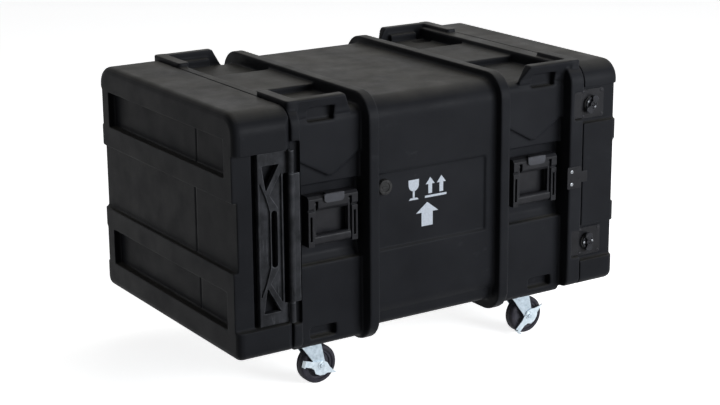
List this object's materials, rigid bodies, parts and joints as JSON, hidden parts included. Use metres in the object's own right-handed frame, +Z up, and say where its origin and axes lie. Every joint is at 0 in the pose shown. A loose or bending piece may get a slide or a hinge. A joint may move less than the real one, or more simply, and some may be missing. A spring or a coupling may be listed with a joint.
{
  "type": "equipment rack case",
  "caption": "Roto-moulded shock-mount rack case with two swing lids, twist latches, spring handles, stacking pads and braked swivel casters around a floating 19-inch frame.",
  "frame": {"origin": "on the floor under the middle of the overall box", "axes": "+X along the rack depth to the rear lid, -Y the side with the label panel, +Z up"},
  "size_m": [1.016, 0.6493, 0.665],
  "materials": {
    "moulded_body": "fine orange-peel grain",
    "moulded_lid": "fine orange-peel grain",
    "nylon": "scuffed",
    "handle": "satin",
    "latch": "satin",
    "zinc": "zinc plated",
    "tyre": "matte",
    "steel": "powder coated",
    "rubber": "matte",
    "aluminium": "anodised"
  },
  "bodies": {
    "case": {"body_shell": "moulded_body", "front_gasket": "rubber", "rear_gasket": "rubber", "front_hinge_leaf": "nylon", "rear_hinge_leaf": "nylon", "lid_guide_bracket": "steel", "front_lower_keeper": "steel", "front_upper_keeper": "steel", "rear_lower_keeper": "steel", "rear_upper_keeper": "steel", "front_left_handle_plate": "handle", "front_right_handle_plate": "handle", "rear_left_handle_plate": "handle", "rear_right_handle_plate": "handle", "front_left_caster_plate": "zinc", "front_right_caster_plate": "zinc", "rear_left_caster_plate": "zinc", "rear_right_caster_plate": "zinc", "front_left_lower_shock_mount": "rubber", "front_right_lower_shock_mount": "rubber", "rear_left_lower_shock_mount": "rubber", "rear_right_lower_shock_mount": "rubber", "front_left_upper_shock_mount": "rubber", "front_right_upper_shock_mount": "rubber", "rear_left_upper_shock_mount": "rubber", "rear_right_upper_shock_mount": "rubber"},
    "front_lid_body": {"front_lid": "moulded_lid", "front_hinge_bar": "nylon", "front_lower_latch_base": "latch", "front_upper_latch_base": "latch"},
    "front_lower_knob_body": {"front_lower_latch_knob": "latch"},
    "front_upper_knob_body": {"front_upper_latch_knob": "latch"},
    "rear_lid_body": {"rear_lid": "moulded_lid", "rear_hinge_bar": "nylon", "rear_lower_latch_base": "latch", "rear_upper_latch_base": "latch"},
    "rear_lower_knob_body": {"rear_lower_latch_knob": "latch"},
    "rear_upper_knob_body": {"rear_upper_latch_knob": "latch"},
    "front_left_bail_body": {"front_left_handle_bail": "handle"},
    "front_right_bail_body": {"front_right_handle_bail": "handle"},
    "rear_left_bail_body": {"rear_left_handle_bail": "handle"},
    "rear_right_bail_body": {"rear_right_handle_bail": "handle"},
    "front_left_fork_body": {"front_left_caster_fork": "zinc"},
    "front_left_wheel_body": {"front_left_wheel": "tyre"},
    "front_left_lever_body": {"front_left_brake_lever": "zinc"},
    "front_right_fork_body": {"front_right_caster_fork": "zinc"},
    "front_right_wheel_body": {"front_right_wheel": "tyre"},
    "front_right_lever_body": {"front_right_brake_lever": "zinc"},
    "rear_left_fork_body": {"rear_left_caster_fork": "zinc"},
    "rear_left_wheel_body": {"rear_left_wheel": "tyre"},
    "rear_left_lever_body": {"rear_left_brake_lever": "zinc"},
    "rear_right_fork_body": {"rear_right_caster_fork": "zinc"},
    "rear_right_wheel_body": {"rear_right_wheel": "tyre"},
    "rear_right_lever_body": {"rear_right_brake_lever": "zinc"},
    "valve_body": {"pressure_valve_knob": "latch"},
    "rack": {"rack_frame": "steel", "front_left_rack_rail": "aluminium", "front_right_rack_rail": "aluminium", "rear_left_rack_rail": "aluminium", "rear_right_rack_rail": "aluminium"}
  },
  "joints": [
    {"name": "front_lid_swing", "type": "hinge", "parent": "case", "child": "front_lid_body", "pos_m": [-0.3744, -0.318, 0.39], "axis": [0, 0, 1], "range_deg": [0, 115]},
    {"name": "front_lower_latch_turn", "type": "hinge", "parent": "front_lid_body", "child": "front_lower_knob_body", "pos_m": [-0.401, 0.322, 0.228], "axis": [0, 1, 0], "range_deg": [0, 180]},
    {"name": "front_upper_latch_turn", "type": "hinge", "parent": "front_lid_body", "child": "front_upper_knob_body", "pos_m": [-0.401, 0.322, 0.559], "axis": [0, 1, 0], "range_deg": [0, 180]},
    {"name": "rear_lid_swing", "type": "hinge", "parent": "case", "child": "rear_lid_body", "pos_m": [0.4064, 0.318, 0.39], "axis": [0, 0, 1], "range_deg": [0, 115]},
    {"name": "rear_lower_latch_turn", "type": "hinge", "parent": "rear_lid_body", "child": "rear_lower_knob_body", "pos_m": [0.433, -0.322, 0.228], "axis": [0, -1, 0], "range_deg": [0, 180]},
    {"name": "rear_upper_latch_turn", "type": "hinge", "parent": "rear_lid_body", "child": "rear_upper_knob_body", "pos_m": [0.433, -0.322, 0.559], "axis": [0, -1, 0], "range_deg": [0, 180]},
    {"name": "front_left_handle_lift", "type": "hinge", "parent": "case", "child": "front_left_bail_body", "pos_m": [-0.261, -0.29, 0.431], "axis": [-1, 0, 0], "range_deg": [0, 90], "stiffness_Nm_per_rad": 0.35},
    {"name": "front_right_handle_lift", "type": "hinge", "parent": "case", "child": "front_right_bail_body", "pos_m": [-0.261, 0.29, 0.431], "axis": [1, 0, 0], "range_deg": [0, 90], "stiffness_Nm_per_rad": 0.35},
    {"name": "rear_left_handle_lift", "type": "hinge", "parent": "case", "child": "rear_left_bail_body", "pos_m": [0.284, -0.29, 0.431], "axis": [-1, 0, 0], "range_deg": [0, 90], "stiffness_Nm_per_rad": 0.35},
    {"name": "rear_right_handle_lift", "type": "hinge", "parent": "case", "child": "rear_right_bail_body", "pos_m": [0.284, 0.29, 0.431], "axis": [1, 0, 0], "range_deg": [0, 90], "stiffness_Nm_per_rad": 0.35},
    {"name": "front_left_caster_swivel", "type": "hinge", "parent": "case", "child": "front_left_fork_body", "pos_m": [-0.29, -0.222, 0.1], "axis": [0, 0, 1], "continuous": true},
    {"name": "front_left_wheel_roll", "type": "hinge", "parent": "front_left_fork_body", "child": "front_left_wheel_body", "pos_m": [-0.262, -0.222, 0.0445], "axis": [0, 1, 0], "continuous": true},
    {"name": "front_left_brake_tilt", "type": "hinge", "parent": "front_left_fork_body", "child": "front_left_lever_body", "pos_m": [-0.262, -0.222, 0.0445], "axis": [0, -1, 0], "range_deg": [0, 18]},
    {"name": "front_right_caster_swivel", "type": "hinge", "parent": "case", "child": "front_right_fork_body", "pos_m": [-0.29, 0.222, 0.1], "axis": [0, 0, 1], "continuous": true},
    {"name": "front_right_wheel_roll", "type": "hinge", "parent": "front_right_fork_body", "child": "front_right_wheel_body", "pos_m": [-0.262, 0.222, 0.0445], "axis": [0, 1, 0], "continuous": true},
    {"name": "front_right_brake_tilt", "type": "hinge", "parent": "front_right_fork_body", "child": "front_right_lever_body", "pos_m": [-0.262, 0.222, 0.0445], "axis": [0, -1, 0], "range_deg": [0, 18]},
    {"name": "rear_left_caster_swivel", "type": "hinge", "parent": "case", "child": "rear_left_fork_body", "pos_m": [0.29, -0.222, 0.1], "axis": [0, 0, 1], "continuous": true},
    {"name": "rear_left_wheel_roll", "type": "hinge", "parent": "rear_left_fork_body", "child": "rear_left_wheel_body", "pos_m": [0.318, -0.222, 0.0445], "axis": [0, 1, 0], "continuous": true},
    {"name": "rear_left_brake_tilt", "type": "hinge", "parent": "rear_left_fork_body", "child": "rear_left_lever_body", "pos_m": [0.318, -0.222, 0.0445], "axis": [0, 1, 0], "range_deg": [0, 18]},
    {"name": "rear_right_caster_swivel", "type": "hinge", "parent": "case", "child": "rear_right_fork_body", "pos_m": [0.29, 0.222, 0.1], "axis": [0, 0, 1], "continuous": true},
    {"name": "rear_right_wheel_roll", "type": "hinge", "parent": "rear_right_fork_body", "child": "rear_right_wheel_body", "pos_m": [0.318, 0.222, 0.0445], "axis": [0, 1, 0], "continuous": true},
    {"name": "rear_right_brake_tilt", "type": "hinge", "parent": "rear_right_fork_body", "child": "rear_right_lever_body", "pos_m": [0.318, 0.222, 0.0445], "axis": [0, 1, 0], "range_deg": [0, 18]},
    {"name": "pressure_valve_turn", "type": "hinge", "parent": "case", "child": "valve_body", "pos_m": [-0.13, -0.3, 0.445], "axis": [0, -1, 0], "range_deg": [0, 180]},
    {"name": "rack_bounce", "type": "slide", "parent": "case", "child": "rack", "axis": [0, 0, 1], "range_m": [-0.01, 0.01], "stiffness_N_per_m": 40000, "deforming": ["front_left_lower_shock_mount", "front_right_lower_shock_mount", "rear_left_lower_shock_mount", "rear_right_lower_shock_mount", "front_left_upper_shock_mount", "front_right_upper_shock_mount", "rear_left_upper_shock_mount", "rear_right_upper_shock_mount"]}
  ]
}
